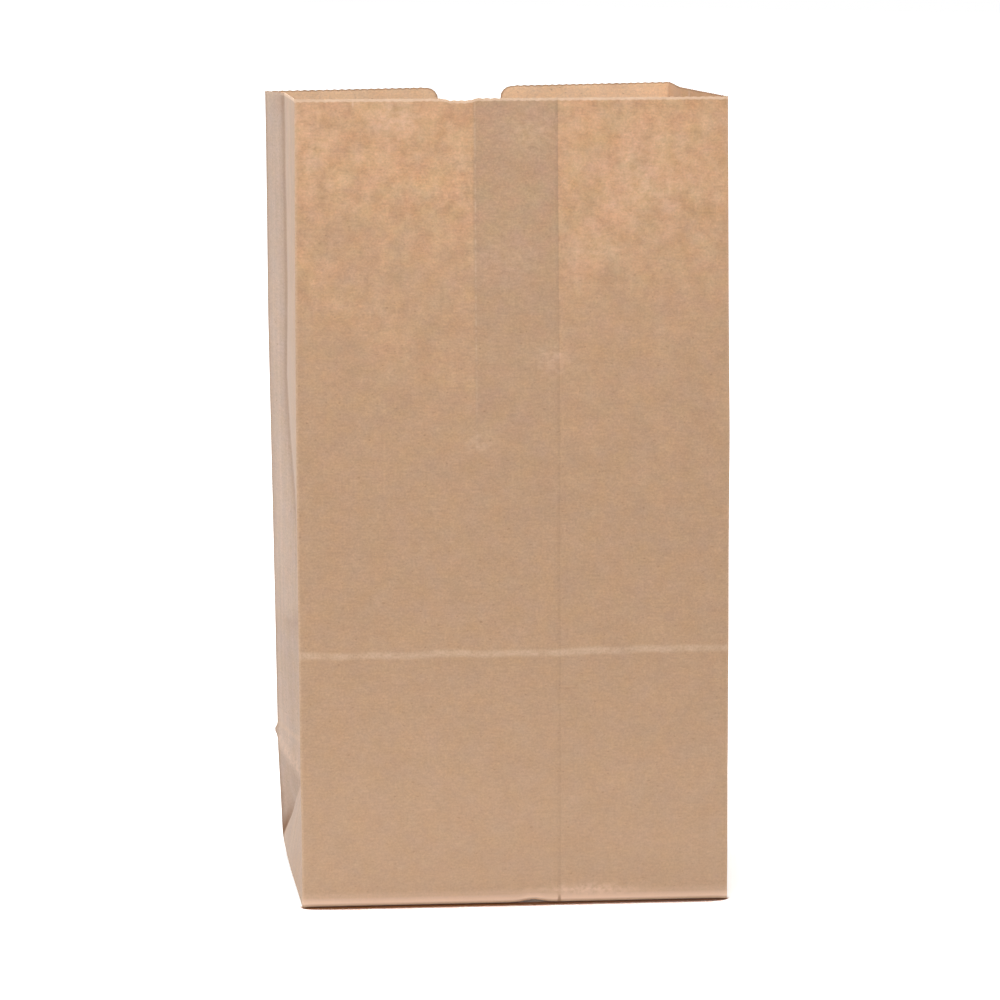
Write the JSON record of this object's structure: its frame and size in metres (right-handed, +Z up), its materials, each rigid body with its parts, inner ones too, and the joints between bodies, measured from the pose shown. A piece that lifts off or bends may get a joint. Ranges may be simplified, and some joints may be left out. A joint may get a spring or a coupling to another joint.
{
  "type": "paper lunch bag",
  "caption": "Brown kraft paper lunch bag standing open: gusseted sides, folded and pasted flat bottom, saw-cut rim with a thumb notch.",
  "frame": {"origin": "on the surface the bag stands on, under the middle of the folded bottom", "axes": "+Z up through the mouth, +X to the right as seen from the seamed front panel, -Y out of that panel"},
  "size_m": [0.1639, 0.1005, 0.2872],
  "materials": {
    "kraft_paper": "matte unbleached kraft paper"
  },
  "bodies": {
    "root": {"paper_bag": "kraft_paper"}
  },
  "joints": []
}
